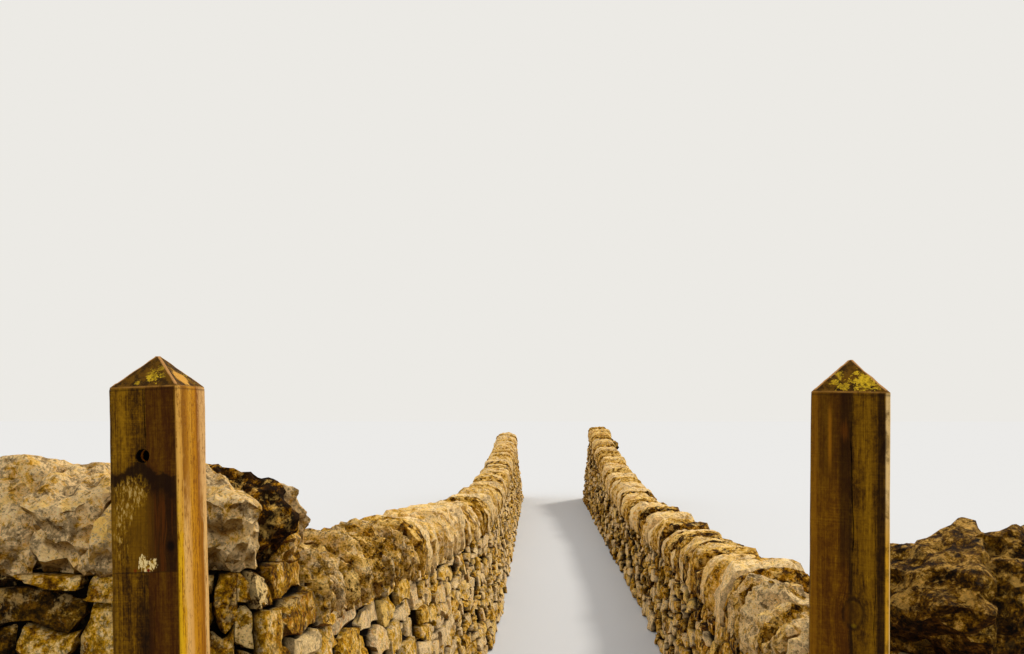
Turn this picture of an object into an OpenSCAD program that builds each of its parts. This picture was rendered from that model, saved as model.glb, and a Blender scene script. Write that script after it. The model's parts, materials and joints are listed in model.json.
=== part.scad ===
// A gap stile at the head of a walled lane: two timber gateposts stand before a gap in a
// dry-stone cross wall, which turns into two coped lane walls.
// Millimetres. X runs across the lane, Y along it away from the posts, Z up from the ground.
// Each side is drawn as the right-hand one and mirrored for the left.

/* [Lane] */
// Clear width between the feet of the lane walls
lane_w = 1170; // [1000:10:1500]
// Distance down the lane over which the mouth comes to the lane width
taper_l = 3400; // [2600:50:4600]
// First length of each lane wall, which drops from the corner
shoulder_l = 1400; // [1000:10:2000]
// Each further length of lane wall
bay_l = 2720; // [2000:10:3200]
// Width over the outer ends of both cross walls
overall_w = 5800; // [4600:50:7000]

/* [Walls] */
// Width of every wall under its copes
top_w = 400; // [340:5:500]
// Lean of each wall face for each millimetre of height
batter = 0.13; // [0.08:0.01:0.16]
// Distance by which the right wall head stands in front of the left one
right_advance = 178; // [0:2:300]

/* [Left walls] */
// Distance from the lane's centre line to the left wall head's foot
left_mouth = 820; // [640:10:950]
// Radius of the left corner at its foot
left_corner_r = 300; // [220:10:400]
// Cope seat height at the left corner and on the left cross wall
left_corner_h = 1300; // [1000:10:1400]
// Cope seat height where the left lane wall starts, a step below its head
left_start_h = 1070; // [850:10:1230]
// Cope seat height at the end of the left wall's first length
left_shoulder_h = 960; // [700:10:1200]
// Lowest cope seat height on the left lane wall
left_sag_h = 700; // [500:10:900]
// Where the left wall is lowest, as a share of the bays
left_sag_share = 0.45; // [0.2:0.05:0.8]
// Cope seat height at the far end of the left lane wall
left_far_h = 1100; // [600:10:1300]

/* [Right walls] */
// Distance from the lane's centre line to the right wall head's foot
right_mouth = 372; // [300:2:600]
// Radius of the right corner at its foot
right_corner_r = 200; // [190:10:300]
// Cope seat height at the right corner and on the right cross wall
right_corner_h = 1160; // [900:10:1200]
// Cope seat height where the right lane wall starts, a step below its head
right_start_h = 800; // [700:10:960]
// Cope seat height at the end of the right wall's first length
right_shoulder_h = 765; // [500:10:1000]
// Lowest cope seat height on the right lane wall
right_sag_h = 570; // [400:10:800]
// Where the right wall is lowest, as a share of the bays
right_sag_share = 0.4; // [0.2:0.05:0.8]
// Cope seat height at the far end of the right lane wall
right_far_h = 1220; // [600:10:1300]

/* [Copes] */
// Height of a cope on the lane walls
cope_h = 240; // [180:5:300]
// Height of the tallest copes on the left head and cross wall
left_head_cope_h = 270; // [240:5:400]
// Height of the tallest copes on the right head and cross wall
right_head_cope_h = 300; // [240:5:480]
// Height of the lowest copes fanned round the left corner
left_fan_low_h = 150; // [120:5:240]
// Height of the lowest copes fanned round the right corner
right_fan_low_h = 200; // [120:5:240]
// Mean thickness of a cope along the lane walls
cope_t = 158; // [130:2:220]
// Mean thickness of a cope along the cross walls
cross_cope_t = 230; // [150:5:300]
// Lean of the copes towards the corners, in degrees
cope_lean = 12; // [0:1:18]
// Overhang of a cope past each side of the wall's top
cope_over = 18; // [0:2:40]
// Open joint between two copes
cope_gap = 5; // [3:1:10]
// Number of copes fanned round the left corner
left_fan_count = 5; // [3:1:6]
// Number of copes fanned round the right corner
right_fan_count = 3; // [3:1:6]

/* [Posts] */
// Side of the square posts
post_w = 150; // [125:5:175]
// Width of the worn chamfer on the post's arrises
post_chamfer = 7; // [3:1:12]
// Rise of the four-way weathered post top
point_h = 70; // [40:2:100]
// Height of the left post
left_post_h = 1829; // [1500:1:2000]
// Distance of the left post's middle from the wall head's foot, away from the lane
left_post_out = 207; // [150:1:300]
// Distance that the left post stands clear of the wall's foot
left_clearance = 45; // [0.3:0.1:80]
// Turn of the left post's face towards the lane, in degrees
left_turn_angle = 0; // [-10:1:25]
// Lean of the left post away from the lane, in degrees
left_lean_angle = 2.4; // [0:0.1:4]
// Height of the right post
right_post_h = 1815; // [1500:5:2000]
// Distance of the right post's middle from the wall head's foot, away from the lane
right_post_out = -52; // [-60:2:150]
// Turn of the right post's face towards the lane, in degrees
right_turn_angle = 20; // [-10:1:25]
// Lean of the right post away from the lane, in degrees
right_lean_angle = 1.5; // [0:0.1:4]
// Distance that the right post stands clear of the wall's foot
right_clearance = 0.3; // [0.3:0.1:80]

/* [Hinge hole] */
// Diameter of the old hinge bolt hole in the left post
hole_d = 27; // [16:1:36]
// Depth of the hinge bolt hole
hole_depth = 60; // [30:5:100]
// Distance of the hole below the post's tip
hole_drop = 213; // [150:1:400]
// Distance of the hole from the face's middle, away from the lane
hole_out = 4; // [0:1:30]

/* [Hidden] */
bay_count = 6;
left = 0;
right = 1;
cope_steps = 8;
cope_variation = 0.12;
cope_skew = 0.12;
fan_root = 60;
cut_margin = 400;
wall_color = "#b3a486";
cope_color = "#a99a7c";
post_color = "#5d4527";
$fn = 96;

// What differs between the sides
function mouth(s) = [left_mouth, right_mouth][s];
function corner_r(s) = [left_corner_r, right_corner_r][s];
function corner_h(s) = [left_corner_h, right_corner_h][s];
function start_h(s) = [left_start_h, right_start_h][s];
function shoulder_h(s) = [left_shoulder_h, right_shoulder_h][s];
function sag_h(s) = [left_sag_h, right_sag_h][s];
function sag_share(s) = [left_sag_share, right_sag_share][s];
function far_h(s) = [left_far_h, right_far_h][s];
function head_cope_h(s) = [left_head_cope_h, right_head_cope_h][s];
function fan_low_h(s) = [left_fan_low_h, right_fan_low_h][s];
function fan_count(s) = [left_fan_count, right_fan_count][s];
function post_h(s) = [left_post_h, right_post_h][s];
function post_x(s) = mouth(s) + [left_post_out, right_post_out][s];
function clearance(s) = [left_clearance, right_clearance][s];
function turn(s) = [left_turn_angle, right_turn_angle][s];
function lean_angle(s) = [left_lean_angle, right_lean_angle][s];

// Plan of the walls
function foot_w(h) = top_w + 2 * batter * h;
function front_y(s) = [0, -right_advance][s];
function head_y(s) = front_y(s) + foot_w(corner_h(s));
function field_x(s) = mouth(s) + foot_w(corner_h(s));
function run_y(k) = k == 0 ? 0 : shoulder_l + (k - 1) * bay_l;
function station_y(s, k) = head_y(s) + run_y(k);
function station_x(s, k) =
    lane_w / 2 + (mouth(s) - lane_w / 2) * max(0, 1 - run_y(k) / taper_l);

// Seat height at a station: it falls to the lowest point, then rises to the far end
function bay_h(s, t) =
    t <= sag_share(s)
        ? shoulder_h(s) + (sag_h(s) - shoulder_h(s)) * sin(90 * t / sag_share(s))
        : sag_h(s) + (far_h(s) - sag_h(s)) * (1 - cos(90 * (t - sag_share(s)) / (1 - sag_share(s))));
function station_h(s, k) = k == 0 ? start_h(s) : bay_h(s, (k - 1) / (bay_count - 1));

// Section of a wall across its run, from the lane-side foot at x
function wall_section(x, h) = [
    [x, 0], [x + foot_w(h), 0], [x + foot_w(h) - batter * h, h], [x + batter * h, h]
];

// Section of a post, turned in plan
function post_corners(w, c) = [
    [w, c - w], [w, w - c], [w - c, w], [c - w, w], [-w, w - c], [-w, c - w], [c - w, -w], [w - c, -w]
];
function turned(p, a) = [p[0] * cos(a) - p[1] * sin(a), p[0] * sin(a) + p[1] * cos(a)];
function post_plan(s) = [for (p = post_corners(post_w / 2, post_chamfer)) turned(p, -turn(s))];

// Points along the edges of a closed outline
function along(outline, steps) = [
    for (i = [0 : len(outline) - 1], t = [0 : steps - 1])
        outline[i] + (outline[(i + 1) % len(outline)] - outline[i]) * t / steps
];

// How far back a point at x can stand before the foot of the wall head, past which it is free
function wall_limit(s, x) =
    let (dx = mouth(s) + corner_r(s) - x, reach = corner_r(s) + clearance(s))
    dx <= 0 ? front_y(s) - clearance(s)
        : dx < reach ? front_y(s) + corner_r(s) - sqrt(reach * reach - dx * dx)
        : head_y(s) + lane_w;
function post_y(s) = min([for (p = along(post_plan(s), 24)) wall_limit(s, post_x(s) + p[0]) - p[1]]);

// Middle of the whole plan along the lane, which becomes the origin
function post_front(s) = post_y(s) + min([for (p = post_plan(s)) p[1]]);
y_min = min([for (s = [left, right]) min(post_front(s), front_y(s))]);
y_max = max([for (s = [left, right]) station_y(s, bay_count)]);
y_mid = (y_min + y_max) / 2;

module on_side(s) {
    translate([0, -y_mid, 0]) mirror([s == left ? 1 : 0, 0, 0]) children();
}

// Cuts along one wall's run: a drawing in run and height, extruded across the wall
module across(width) {
    translate([-width / 2, 0, 0]) rotate([90, 0, 90]) linear_extrude(width) children();
}

// Post: the section under two crossed gables, standing on a level foot
module post_shaft(s) {
    w = post_w / 2;
    eave = post_h(s) - point_h;
    gable = [[-w, -w], [w, -w], [w, eave], [0, post_h(s)], [-w, eave]];
    intersection() {
        translate([0, 0, -w]) linear_extrude(post_h(s) + 2 * w) polygon(post_corners(w, post_chamfer));
        translate([0, w, 0]) rotate([90, 0, 0]) linear_extrude(post_w) polygon(gable);
        across(post_w) polygon(gable);
    }
}

module hinge_hole(s) {
    translate([hole_out, -post_w / 2 - hole_d, post_h(s) - hole_drop])
        rotate([-90, 0, 0]) cylinder(h = hole_d + hole_depth, d = hole_d);
}

module post(s) {
    color(post_color) on_side(s) translate([post_x(s), post_y(s), 0]) difference() {
        rotate([0, lean_angle(s), 0]) rotate([0, 0, -turn(s)]) difference() {
            post_shaft(s);
            if (s == left) hinge_hole(s);
        }
        translate([-post_w, -post_w, -post_w]) cube([2 * post_w, 2 * post_w, post_w]);
    }
}

// Length of lane wall between two stations, lofted from one section to the next
module lane_wall(s, k) {
    near = [for (p = wall_section(station_x(s, k - 1), station_h(s, k - 1))) [p[0], station_y(s, k - 1), p[1]]];
    far = [for (p = wall_section(station_x(s, k), station_h(s, k))) [p[0], station_y(s, k), p[1]]];
    faces = [[0, 3, 2, 1], [4, 5, 6, 7], [0, 1, 5, 4], [1, 2, 6, 5], [2, 3, 7, 6], [3, 0, 4, 7]];
    color(wall_color) on_side(s) polyhedron(points = concat(near, far), faces = faces);
}

module cross_wall(s) {
    h = corner_h(s);
    color(wall_color) on_side(s) translate([field_x(s), 0, 0]) rotate([90, 0, 90])
        linear_extrude(overall_w / 2 - field_x(s)) polygon(wall_section(front_y(s), h));
}

// Corner: the two wall sections meet square on the field side and round towards the lane
module corner(s) {
    h = corner_h(s);
    r = corner_r(s);
    color(wall_color) on_side(s) union() {
        translate([mouth(s) + r, 0, 0]) rotate([90, 0, 90])
            linear_extrude(field_x(s) - mouth(s) - r) polygon(wall_section(front_y(s), h));
        translate([0, head_y(s), 0]) rotate([90, 0, 0])
            linear_extrude(head_y(s) - front_y(s) - r) polygon(wall_section(mouth(s), h));
        translate([mouth(s) + r, front_y(s) + r, 0]) rotate([0, 0, 180])
            rotate_extrude(angle = 90) polygon([[0, 0], [r, 0], [r - batter * h, h], [0, h]]);
    }
}

// Outline of a cope seen along the wall: a shouldered arch that reaches below its seat
function arch(width, height, skew, bury) = concat(
    [[-width / 2, -bury], [width / 2, -bury]],
    [for (i = [0 : cope_steps])
        let (a = 180 * i / cope_steps, z = height * pow(sin(a), 0.85))
        [width / 2 * sign(cos(a)) * pow(abs(cos(a)), 0.75) + skew * z, z]]
);

// Row of leaning copes on a wall top that runs along Y from the origin, drifting sideways.
// Joints are laid out along the lean, so that neighbours stay parallel over a change of slope.
module cope_run(length, near_h, far_h, drift, height, pitch, seed) {
    slope = (far_h - near_h) / length;
    pull = 1 + slope * tan(cope_lean);
    count = max(2, round(length / pitch));
    parts = rands(1 - cope_variation * 2, 1 + cope_variation * 2, count, seed);
    heights = rands(1 - cope_variation, 1 + cope_variation, count, seed + 1);
    skews = rands(-cope_skew, cope_skew, count, seed + 2);
    whole = [for (i = 0, sum = 0; i <= count; sum = sum + (i < count ? parts[i] : 0), i = i + 1) sum];
    intersection() {
        union() for (i = [0 : count - 1]) {
            start = length * whole[i] / whole[count];
            end = length * whole[i + 1] / whole[count];
            middle = (start + end) / 2;
            thick = ((end - start) * pull - cope_gap) * cos(cope_lean);
            translate([drift * middle / length, middle, near_h + slope * middle])
                rotate([cope_lean, 0, 0]) translate([0, thick / 2, 0]) rotate([90, 0, 0])
                linear_extrude(thick)
                polygon(arch(top_w + 2 * cope_over, height * heights[i], skews[i], height / 2));
        }
        // above the seat
        across(2 * overall_w) polygon([
            [-cut_margin, near_h - slope * cut_margin],
            [length + cut_margin, far_h + slope * cut_margin],
            [length + cut_margin, max(near_h, far_h) + 2 * cut_margin],
            [-cut_margin, max(near_h, far_h) + 2 * cut_margin]
        ]);
        children();
    }
}

// Keeps a run clear of the upright joint at its start
module past_start(length) {
    translate([-overall_w, cope_gap / 2, 0]) cube([2 * overall_w, length + cut_margin, 3 * overall_w]);
}

module lane_copes(s, k) {
    near_x = station_x(s, k - 1) + batter * station_h(s, k - 1) + top_w / 2;
    far_x = station_x(s, k) + batter * station_h(s, k) + top_w / 2;
    length = run_y(k) - run_y(k - 1);
    color(cope_color) on_side(s) translate([near_x, station_y(s, k - 1), 0])
        cope_run(length, station_h(s, k - 1), station_h(s, k), far_x - near_x, cope_h, cope_t, 10 * k + 100 * s)
        if (k == 1) past_start(length);
        else translate([0, -cut_margin, 0]) past_start(length + cut_margin);
}

module cross_copes(s) {
    h = corner_h(s);
    length = overall_w / 2 - field_x(s);
    color(cope_color) on_side(s)
        translate([field_x(s), front_y(s) + foot_w(h) / 2, 0]) rotate([0, 0, -90])
        cope_run(length, h, h, 0, head_cope_h(s), cross_cope_t, 70 + 100 * s) past_start(length);
}

// Distance from the field-side corner of the corner's top to its rounded edge, a degrees round
function fan_reach(s, a) =
    let (round_r = corner_r(s) - batter * corner_h(s),
         off = top_w - round_r,
         side = min(a, 90 - a),
         d = off * sqrt(2))
    top_w * tan(side) <= off ? top_w / cos(side)
        : d * cos(a - 45) + sqrt(round_r * round_r - pow(d * sin(a - 45), 2));

// One fanned cope: a radial arch cut to a wedge in plan
module fan_cope(reach, spread, height, skew) {
    inner = fan_root;
    outer = reach + cope_over;
    rise = tan(spread / 2);
    half_gap = cope_gap / 2;
    intersection() {
        translate([(inner + outer) / 2, outer, 0]) rotate([90, 0, 0]) linear_extrude(2 * outer)
            polygon(arch(outer - inner, height, skew, 0));
        linear_extrude(2 * height) polygon([
            [inner, half_gap - inner * rise], [outer, half_gap - outer * rise],
            [outer, outer * rise - half_gap], [inner, inner * rise - half_gap]
        ]);
    }
}

// The fan rises from its low end by the lane to the tall copes on the cross wall
function fan_h(s, a) = fan_low_h(s) + (head_cope_h(s) - fan_low_h(s)) * sin(a);

// Upright cope on the short arm between the fan and the next run, flush on the field side
module arm_cope(arm, height) {
    width = top_w + cope_over;
    translate([-width / 2, arm - cope_gap / 2, 0]) rotate([90, 0, 0])
        linear_extrude(arm - cope_gap) polygon(arch(width, height, 0, 0));
}

module corner_copes(s) {
    h = corner_h(s);
    count = fan_count(s);
    spread = 90 / count;
    heights = rands(1 - cope_variation, 1 + cope_variation, count + 2, 36 + s);
    skews = rands(-cope_skew, cope_skew, count, 15 + s);
    color(cope_color) on_side(s)
        translate([field_x(s) - batter * h, head_y(s) - batter * h, h]) {
            for (i = [0 : count - 1]) {
                a = spread * (i + 0.5);
                rotate([0, 0, 180 + a])
                    fan_cope(fan_reach(s, a), spread, fan_h(s, a) * heights[i], skews[i]);
            }
            arm_cope(batter * h, fan_h(s, 0) * heights[count]);
            mirror([1, -1, 0])
                arm_cope(batter * h, fan_h(s, 90) * heights[count + 1]);
        }
}

post(left);  // left_post
post(right);  // right_post
cross_wall(left);  // left_cross_wall
corner(left);  // left_corner
lane_wall(left, 1);  // left_lane_wall_1
lane_wall(left, 2);  // left_lane_wall_2
lane_wall(left, 3);  // left_lane_wall_3
lane_wall(left, 4);  // left_lane_wall_4
lane_wall(left, 5);  // left_lane_wall_5
lane_wall(left, 6);  // left_lane_wall_6
cross_wall(right);  // right_cross_wall
corner(right);  // right_corner
lane_wall(right, 1);  // right_lane_wall_1
lane_wall(right, 2);  // right_lane_wall_2
lane_wall(right, 3);  // right_lane_wall_3
lane_wall(right, 4);  // right_lane_wall_4
lane_wall(right, 5);  // right_lane_wall_5
lane_wall(right, 6);  // right_lane_wall_6
cross_copes(left);  // left_cross_copes
corner_copes(left);  // left_corner_copes
lane_copes(left, 1);  // left_lane_copes_1
lane_copes(left, 2);  // left_lane_copes_2
lane_copes(left, 3);  // left_lane_copes_3
lane_copes(left, 4);  // left_lane_copes_4
lane_copes(left, 5);  // left_lane_copes_5
lane_copes(left, 6);  // left_lane_copes_6
cross_copes(right);  // right_cross_copes
corner_copes(right);  // right_corner_copes
lane_copes(right, 1);  // right_lane_copes_1
lane_copes(right, 2);  // right_lane_copes_2
lane_copes(right, 3);  // right_lane_copes_3
lane_copes(right, 4);  // right_lane_copes_4
lane_copes(right, 5);  // right_lane_copes_5
lane_copes(right, 6);  // right_lane_copes_6
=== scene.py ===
import json
import math
import time
import bpy
import numpy as np
from mathutils import Matrix, Vector


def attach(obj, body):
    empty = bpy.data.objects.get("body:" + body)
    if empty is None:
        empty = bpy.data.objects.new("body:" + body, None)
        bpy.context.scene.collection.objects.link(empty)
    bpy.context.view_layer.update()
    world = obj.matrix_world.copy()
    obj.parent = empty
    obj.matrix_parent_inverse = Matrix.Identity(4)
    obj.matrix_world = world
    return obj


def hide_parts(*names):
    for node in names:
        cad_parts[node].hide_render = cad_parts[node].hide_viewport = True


started = time.time()
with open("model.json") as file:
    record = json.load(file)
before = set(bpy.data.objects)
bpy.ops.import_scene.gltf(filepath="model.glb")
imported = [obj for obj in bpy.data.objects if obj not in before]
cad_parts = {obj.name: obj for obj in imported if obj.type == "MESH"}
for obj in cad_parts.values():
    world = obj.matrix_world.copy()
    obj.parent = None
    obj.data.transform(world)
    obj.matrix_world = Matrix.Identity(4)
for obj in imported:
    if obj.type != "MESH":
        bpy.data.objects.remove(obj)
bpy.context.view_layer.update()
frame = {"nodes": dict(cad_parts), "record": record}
bpy.ops.object.select_all(action="DESELECT")

sides = {"left": -1, "right": 1}
laneLengths = 6
tiny = 0.001  # places this near to each other are taken as one
toEnd = 99.0  # past the end of any run


def report(words):
    print(f"{time.time() - started:6.1f} s  {words}")


def remember(piece):
    # a finished piece rides on the part's only body
    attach(piece, "root")
    piece.select_set(False)
    return piece


# Sizes of the walls, read from the frame

def cornerPoints(node):
    points = np.array([vertex.co for vertex in frame["nodes"][node].data.vertices])
    return np.unique(points.round(4), axis=0)


def readStations(side):
    # y, lane-side foot, field-side foot and seat height at both ends of each length
    rows = []
    for k in range(laneLengths + 1):
        points = cornerPoints(f"{side}_lane_wall_{max(k, 1)}")
        y = points[:, 1].min() if k == 0 else points[:, 1].max()
        row = points[abs(points[:, 1] - y) < tiny]
        foot = abs(row[row[:, 2] < tiny][:, 0])
        rows.append((y, foot.min(), foot.max(), row[:, 2].max()))
    return np.array(rows)


def readCross(side):
    points = cornerPoints(f"{side}_cross_wall")
    foot = points[points[:, 2] < tiny]
    seat = points[points[:, 2] > tiny]
    height = seat[:, 2].max()
    return {
        "end": abs(foot[:, 0]).max(),
        "field": abs(foot[:, 0]).min(),
        "front": foot[:, 1].min(),
        "back": foot[:, 1].max(),
        "height": height,
        "batter": (seat[:, 1].min() - foot[:, 1].min()) / height,
    }


# Face runs: the foot line of a wall face, the way it looks and its height

cornerRound = {"left": 0.30, "right": 0.20, "steps": 10}


def makeRun(foot, heights, outward, batter, homes):
    foot = np.array(foot, float)
    step = np.diff(foot, axis=0)
    along = np.concatenate([[0.0], np.cumsum(np.hypot(step[:, 0], step[:, 1]))])
    facing = np.stack([-step[:, 1], step[:, 0]], axis=1) * outward
    facing /= np.linalg.norm(facing, axis=1)[:, None]
    atPoint = np.concatenate([facing[:1], facing[:-1] + facing[1:], facing[-1:]])
    atPoint /= np.linalg.norm(atPoint, axis=1)[:, None]
    return {"foot": foot, "along": along, "facing": atPoint, "height": np.array(heights, float),
            "batter": batter, "length": along[-1], "homes": homes, "squeeze": 0.0, "base": 0.0}


def runHeight(run, s):
    return np.interp(s, run["along"], run["height"])


def runPlace(run, s, z, proud):
    # a point at s along the foot line, z up and proud of the battered face
    if run["squeeze"]:
        half = run["length"] / 2
        s = half + (s - half) * (1 - run["squeeze"] * z / half)
    x = np.interp(s, run["along"], run["foot"][:, 0])
    y = np.interp(s, run["along"], run["foot"][:, 1])
    nx = np.interp(s, run["along"], run["facing"][:, 0])
    ny = np.interp(s, run["along"], run["facing"][:, 1])
    size = np.hypot(nx, ny)
    out = proud - run["batter"] * z
    return np.stack([x + nx / size * out, y + ny / size * out, z + 0 * x], axis=-1)


def laneSideRun(side):
    sign = sides[side]
    cross = readCross(side)
    rows = readStations(side)
    radius = cornerRound[side]
    mouth = rows[0][1]
    foot = [(sign * cross["end"], cross["front"]), (sign * cross["field"], cross["front"])]
    for step in range(cornerRound["steps"] + 1):
        angle = math.pi / 2 * step / cornerRound["steps"]
        foot.append((sign * (mouth + radius - radius * math.sin(angle)),
                     cross["front"] + radius - radius * math.cos(angle)))
    # the head's top ends in a step down to the lane wall
    foot.append((sign * mouth, rows[0][0] - tiny))
    heights = [cross["height"]] * len(foot)
    for y, near, far, height in rows:
        foot.append((sign * near, y))
        heights.append(height)
    run = makeRun(foot, heights, sign, cross["batter"], [])
    ends = run["along"][-laneLengths - 1:]
    homes = [(run["along"][1], f"{side}_cross_wall"), (ends[0], f"{side}_corner")]
    homes += [(ends[k], f"{side}_lane_wall_{k}") for k in range(1, laneLengths + 1)]
    run["homes"] = homes
    run["head"] = (run["along"][1], ends[0])
    run["rows"] = rows
    return run


def fieldSideRuns(side):
    sign = sides[side]
    cross = readCross(side)
    rows = readStations(side)
    # the two faces of the inner corner run on into each other
    tie = cross["batter"] * cross["height"] + wallLaying["tie"]
    back = makeRun([(sign * cross["end"], cross["back"]), (sign * (cross["field"] - tie), cross["back"])],
                   [cross["height"]] * 2, -sign, cross["batter"],
                   [(cross["end"] - cross["field"], f"{side}_cross_wall"), (toEnd, f"{side}_corner")])
    bend = makeRun([(sign * cross["field"], cross["back"] - tie), (sign * cross["field"], cross["back"])],
                   [cross["height"]] * 2, -sign, cross["batter"], [(toEnd, f"{side}_corner")])
    field = makeRun([(sign * far, y) for y, near, far, height in rows], rows[:, 3],
                    -sign, cross["batter"], [])
    field["homes"] = [(field["along"][k], f"{side}_lane_wall_{k}") for k in range(1, laneLengths + 1)]
    return [back, bend, field]


def endRuns(side):
    # the two cut ends and the head's step above the lane wall, between the faces
    sign = sides[side]
    cross = readCross(side)
    y, near, far, height = readStations(side)[-1]
    inset = wallLaying["endInset"]
    crossEnd = makeRun([(sign * cross["end"], cross["front"] + inset),
                        (sign * cross["end"], cross["back"] - inset)],
                       [cross["height"]] * 2, -sign, 0, [(toEnd, f"{side}_cross_wall")])
    laneEnd = makeRun([(sign * (near + inset), y), (sign * (far - inset), y)], [height] * 2,
                      sign, 0, [(toEnd, f"{side}_lane_wall_{laneLengths}")])
    y, near, far, height = readStations(side)[0]
    step = makeRun([(sign * (near + inset), y), (sign * (cross["field"] - inset), y)], [cross["height"]] * 2,
                   sign, 0, [(toEnd, f"{side}_corner")])
    step["base"] = height
    for run in (crossEnd, laneEnd, step):
        run["squeeze"] = cross["batter"]
    return [crossEnd, laneEnd, step]


# Laying: stones are set one by one on the lowest open bed

wallLaying = {
    "width": (0.075, 0.30),
    "widthSpread": (1.3, 2.2),  # more narrow stones than wide ones
    "height": (0.036, 0.115),
    "heightSpread": (1.4, 2.3),
    "tallest": 0.95,  # of a stone's width
    "stepNear": 0.05,
    "stepBelow": 0.2,  # this far under the lane wall's seat, no stone straddles the head's step
    "overSeat": 0.2,  # a last stone reaches past the seat and is cut off there
    "joint": (-0.006, 0.009),
    "thin": 0.026,  # beds lower than this are closed by a taller stone
    "snap": 0.014,  # tops this near to a neighbour's are made level with it
    "headGrowth": 1.55,  # larger stones in the heads, down to 1 along the lane
    "headReach": 0.3,
    "headFade": 0.9,
    "fieldGrowth": 1.35,
    "footGrowth": 1.35,
    "fineReach": (1.1, 2.4),  # finer shapes before and after the head
    "endInset": 0.10,
    "tie": 0.02,
    "wander": 0.014,  # how far beds and joints drift
    "calm": (0.08, 0.10),  # no drift this near to a bed's foot or seat, and to a run's end
    "proud": (-0.042, 0.008),
    "depth": (0.10, 0.15),
    "tilt": 0.075,
    "damp": -1.05,  # stones of the head beyond this place are darker: partly damp, partly painted shade
    "slant": 0.16,
    "dry": 0.55,  # the wall darkened as damp and painted shade is as pale as the others away from the lane
    "paler": {"left": 0.70, "right": 1.0},
}


def growthOnLane(run, s):
    away = max(0.0, s - run["head"][1] - wallLaying["headReach"])
    return 1 + (wallLaying["headGrowth"] - 1) * math.exp(-away / wallLaying["headFade"])


def layStones(run, growth, seed):
    draw = np.random.default_rng(seed)
    laying = wallLaying
    line = [[0.0, run["length"], run["base"], False]]  # start, end, level, closed
    stones = []
    while True:
        open_ = [i for i, part in enumerate(line) if not part[3]]
        if not open_:
            break
        low = min(open_, key=lambda i: line[i][2])
        start, end, level = line[low][:3]
        near = start if draw.random() < 0.5 else end
        size = growth(run, near)
        least, most = (w * size for w in laying["width"])
        width = least + (most - least) * draw.beta(*laying["widthSpread"])
        if end - start - width < least:
            width = end - start
            if width > most:
                width /= 2
        a, b = (start, start + width) if near == start else (end - width, end)
        if "head" in run and level > run["rows"][0][3] - laying["stepBelow"]:
            last = run["head"][1]
            if a < last - laying["stepNear"] and b > last + laying["stepNear"]:
                a, b = (a, last) if near == start else (last, b)
        room = float(runHeight(run, (a + b) / 2)) - level
        shut = room < laying["thin"]
        top = level
        if not shut:
            lowBed, highBed = (h * size for h in laying["height"])
            tall = lowBed + (highBed - lowBed) * draw.beta(*laying["heightSpread"])
            if level == 0:
                tall *= laying["footGrowth"]
            tall = min(tall, laying["tallest"] * width)
            for other in (low - 1, low + 1):
                if 0 <= other < len(line) and not line[other][3]:
                    lift = line[other][2] - level
                    if lift > laying["thin"] and abs(lift - tall) < laying["snap"] * size:
                        tall = lift
            reaches = room - tall < laying["thin"] * 1.3
            top = level + (room if reaches else tall)
            stones.append((a, b, level, top + (laying["overSeat"] if reaches else 0)))
            shut = reaches
        parts = []
        if a > start + 1e-6:
            parts.append([start, a, level, False])
        parts.append([a, b, top, shut])
        if b < end - 1e-6:
            parts.append([b, end, level, False])
        line[low:low + 1] = parts
        merged = [line[0]]
        for part in line[1:]:
            last = merged[-1]
            if last[3] == part[3] and (part[3] or abs(last[2] - part[2]) < 0.003):
                last[1] = part[1]
                last[2] = max(last[2], part[2])
            else:
                merged.append(part)
        line = merged
    return np.array(stones)


# Stone shapes: each is carved once, in a box of 1 with its face at the front

plainStone = {"kinds": 20, "seed": 11, "cuts": 2, "round": 0.12, "rough": 0.070, "chops": 3,
              "chopAt": (0.50, 0.64)}
fineStone = {"kinds": 20, "seed": 51, "cuts": 5, "round": 0.13, "rough": 0.018, "chops": 4,
             "chopAt": (0.58, 0.70), "lumps": 0.12, "lumpSize": 0.38, "pits": 0.05, "pitSize": 0.15}


def shapeArrays(piece):
    # the unit box of the carved piece, as points, faces and distance from the face's middle
    points = np.array([vertex.co for vertex in piece.data.vertices])
    low, high = points.min(axis=0), points.max(axis=0)
    points = (points - low) / (high - low) - 0.5
    faces = [list(polygon.vertices) for polygon in piece.data.polygons]
    bpy.data.objects.remove(piece)
    edge = np.clip(np.maximum(abs(points[:, 0]), abs(points[:, 2])) * 2, 0, 1)
    return {"points": points, "faces": faces, "edge": edge, "back": points[:, 1] + 0.5}


def edit():
    bpy.ops.object.mode_set(mode="EDIT")


def done():
    bpy.ops.object.mode_set(mode="OBJECT")


def slicePiece(place, way, **how):
    bpy.ops.mesh.select_all(action="SELECT")
    bpy.ops.mesh.bisect(plane_co=place, plane_no=way, **how)


def applyChange(change):
    bpy.ops.object.modifier_apply(modifier=change.name)


def freeze(location=False, rotation=False, scale=False):
    bpy.ops.object.transform_apply(location=location, rotation=rotation, scale=scale)


def clearSelection(piece):
    for part in (piece.data.polygons, piece.data.edges, piece.data.vertices):
        part.foreach_set("select", np.zeros(len(part), bool))


def selectEdges(piece, wanted):
    # leaves edit mode open with the edges selected whose two ends are wanted
    clearSelection(piece)
    places = [vertex.co for vertex in piece.data.vertices]
    for edge in piece.data.edges:
        edge.select = bool(wanted(*(places[v] for v in edge.vertices)))
        for v in edge.vertices:
            piece.data.vertices[v].select |= edge.select
    bpy.context.tool_settings.mesh_select_mode = (False, True, False)
    edit()


def selectPoints(piece, wanted):
    clearSelection(piece)
    for vertex in piece.data.vertices:
        vertex.select = bool(wanted(vertex.co))
    bpy.context.tool_settings.mesh_select_mode = (True, False, False)
    edit()


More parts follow.
